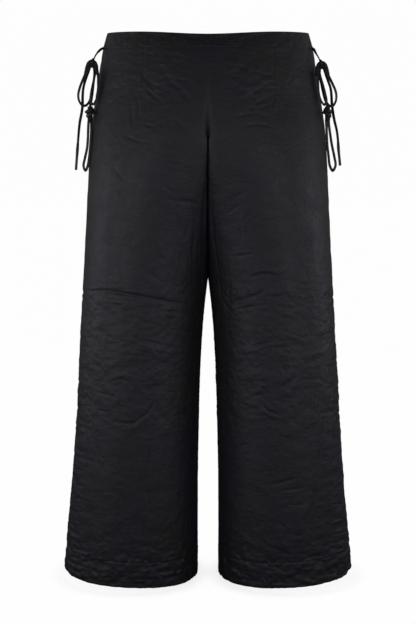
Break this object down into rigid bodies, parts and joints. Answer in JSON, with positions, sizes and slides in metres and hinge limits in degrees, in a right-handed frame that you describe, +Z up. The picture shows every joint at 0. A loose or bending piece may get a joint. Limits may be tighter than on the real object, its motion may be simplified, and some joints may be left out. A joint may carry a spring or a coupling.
{
  "type": "wide-leg trousers",
  "caption": "Full-length wide-leg satin trousers with a flat front, a narrow waistband and a hanging bow tie at each side, worn-form and hollow.",
  "frame": {"origin": "middle of the waist opening, level with the waistband's top edge, where the wearer's waist holds it", "axes": "+Z up, the front faces -Y, the wearer's left is +X"},
  "size_m": [0.562, 0.3097, 1.0345],
  "materials": {
    "satin": "black satin with a soft sheen",
    "tie": "narrow black satin tie"
  },
  "bodies": {
    "root": {"waistband_front": "satin", "waistband_back": "satin", "front_right": "satin", "front_left": "satin", "back_right": "satin", "back_left": "satin", "tie_lead_right": "tie", "tie_outer_loop_right": "tie", "tie_inner_loop_right": "tie", "tie_tail_right": "tie", "tie_drop_right": "tie", "tie_end_loop_right": "tie", "tie_bow_knot_right": "tie", "tie_end_knot_right": "tie", "tie_lead_left": "tie", "tie_outer_loop_left": "tie", "tie_inner_loop_left": "tie", "tie_tail_left": "tie", "tie_drop_left": "tie", "tie_end_loop_left": "tie", "tie_bow_knot_left": "tie", "tie_end_knot_left": "tie"}
  },
  "joints": []
}
